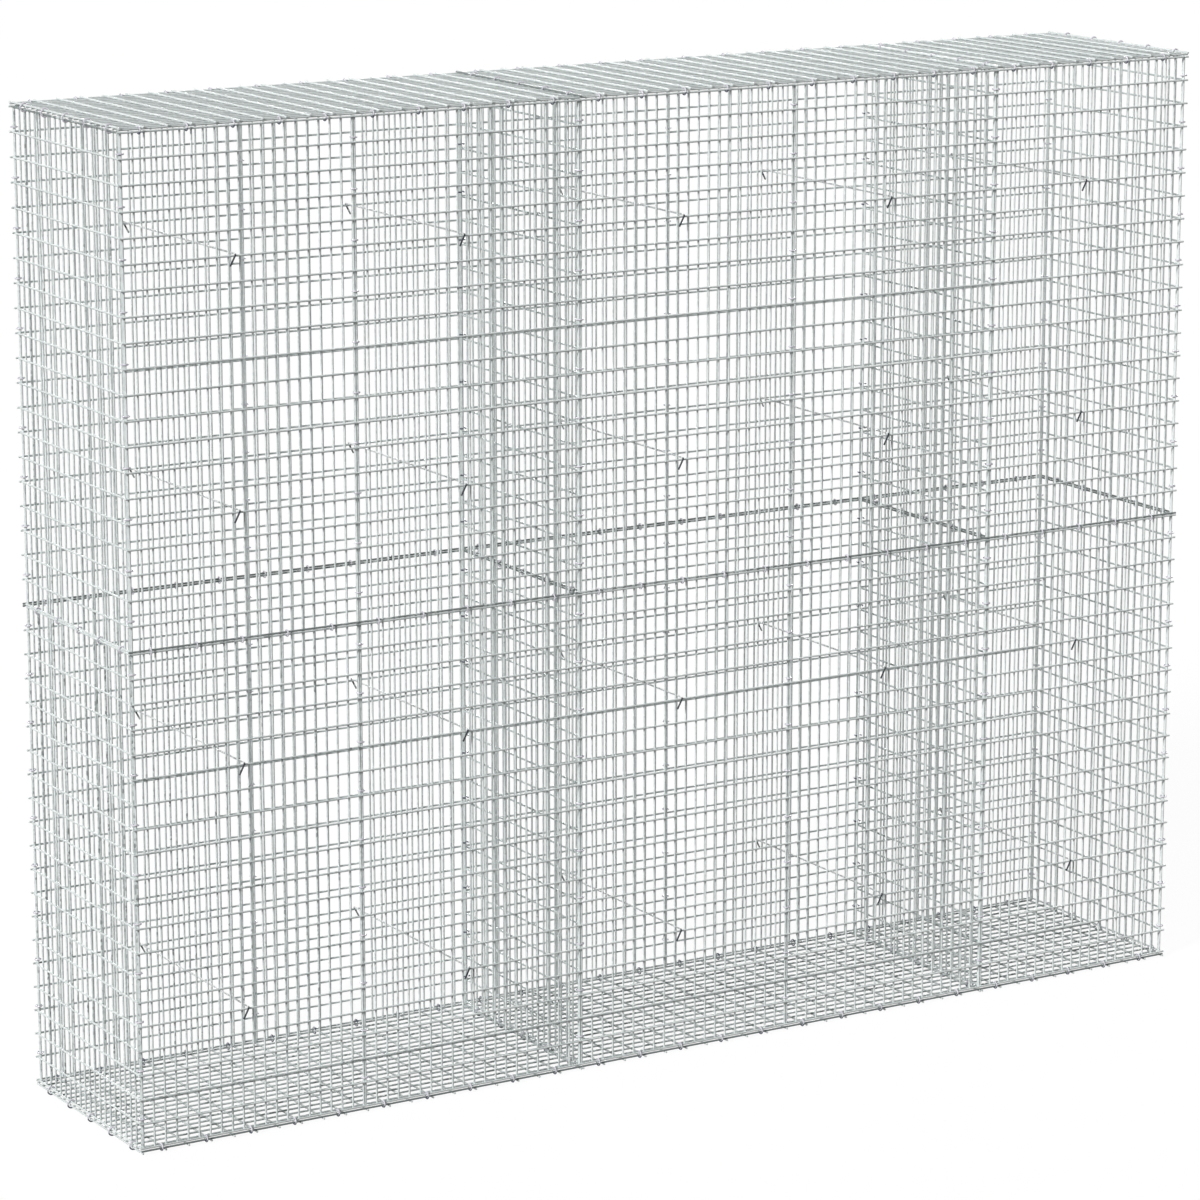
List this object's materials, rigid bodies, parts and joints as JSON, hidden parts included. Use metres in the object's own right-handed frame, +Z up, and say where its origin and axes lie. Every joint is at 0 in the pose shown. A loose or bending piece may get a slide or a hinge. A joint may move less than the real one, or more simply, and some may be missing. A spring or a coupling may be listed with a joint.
{
  "type": "gabion wall",
  "caption": "Tall empty gabion wall basket of welded galvanised wire mesh, with inner partitions, ring-clipped edges and hooked cross ties, ready to be filled with stone.",
  "frame": {"origin": "on the ground under the middle of the base", "axes": "+X along the wall to the right, -Y to the front, +Z up"},
  "size_m": [2.5, 0.5, 2],
  "materials": {
    "mesh_wire": "galvanised, satin",
    "clip_wire": "galvanised, bright",
    "tie_wire": "galvanised, dull"
  },
  "bodies": {
    "root": {"front_low_1": "mesh_wire", "front_low_2": "mesh_wire", "front_low_3": "mesh_wire", "front_low_4": "mesh_wire", "front_low_5": "mesh_wire", "front_high_1": "mesh_wire", "front_high_2": "mesh_wire", "front_high_3": "mesh_wire", "front_high_4": "mesh_wire", "front_high_5": "mesh_wire", "back_low_1": "mesh_wire", "back_low_2": "mesh_wire", "back_low_3": "mesh_wire", "back_low_4": "mesh_wire", "back_low_5": "mesh_wire", "back_high_1": "mesh_wire", "back_high_2": "mesh_wire", "back_high_3": "mesh_wire", "back_high_4": "mesh_wire", "back_high_5": "mesh_wire", "left_end_low": "mesh_wire", "left_end_high": "mesh_wire", "right_end_low": "mesh_wire", "right_end_high": "mesh_wire", "partition_1_low": "mesh_wire", "partition_1_high": "mesh_wire", "partition_2_low": "mesh_wire", "partition_2_high": "mesh_wire", "floor_1": "mesh_wire", "floor_2": "mesh_wire", "floor_3": "mesh_wire", "cover_1": "mesh_wire", "cover_2": "mesh_wire", "cover_3": "mesh_wire", "foot_clips": "clip_wire", "middle_clips": "clip_wire", "top_clips": "clip_wire", "cross_foot_clips": "clip_wire", "cross_middle_clips": "clip_wire", "cross_top_clips": "clip_wire", "front_upright_clips": "clip_wire", "back_upright_clips": "clip_wire", "low_ties": "tie_wire", "high_ties": "tie_wire"}
  },
  "joints": []
}
